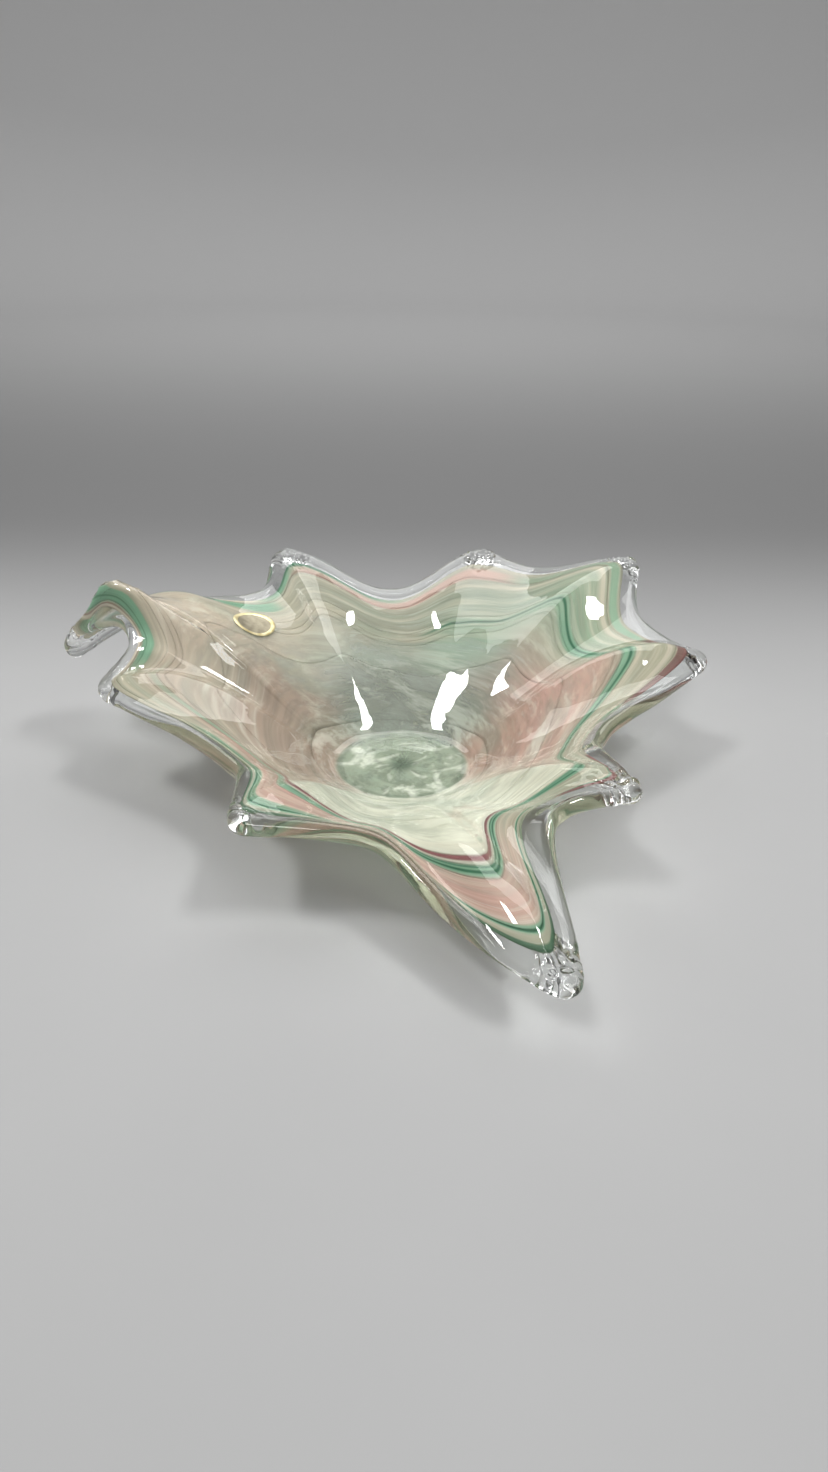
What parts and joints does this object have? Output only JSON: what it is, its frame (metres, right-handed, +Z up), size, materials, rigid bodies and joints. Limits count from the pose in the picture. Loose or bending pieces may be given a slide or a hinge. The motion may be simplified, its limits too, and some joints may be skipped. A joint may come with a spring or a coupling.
{
  "type": "art glass bowl",
  "caption": "Low flared art glass bowl with a swirled milky, green and pink colour layer, a thick clear rim pulled into long drooping points, and a ground foot.",
  "frame": {"origin": "middle of the foot's ground face, on the surface that the bowl stands on", "axes": "+Z up out of the bowl, -Y towards the viewer and the largest drooping point, +X to the viewer's right"},
  "size_m": [0.3442, 0.3403, 0.0865],
  "materials": {
    "clear_glass": "fire polished",
    "foot_glass": "ground and polished",
    "milky_green_glass": "swirled, cased in clear glass",
    "milky_white_glass": "swirled, cased in clear glass",
    "pink_glass": "streaky, cased in clear glass",
    "cranberry_glass": "thin trail, cased in clear glass",
    "dark_green_glass": "thin trail, cased in clear glass",
    "rose_glass": "striped, cased in clear glass",
    "mint_glass": "wide trail, cased in clear glass",
    "foil": "gold-lacquered foil on paper, embossed border, blank field"
  },
  "bodies": {
    "root": {"inner_lining": "clear_glass", "outer_casing": "clear_glass", "rim_band": "clear_glass", "foot": "foot_glass", "floor_swirl": "milky_green_glass", "lower_white_band": "milky_white_glass", "pink_band": "pink_glass", "cranberry_trail": "cranberry_glass", "inner_green_trail": "dark_green_glass", "rose_band": "rose_glass", "edge_green_trail": "mint_glass", "foil_label": "foil"}
  },
  "joints": []
}
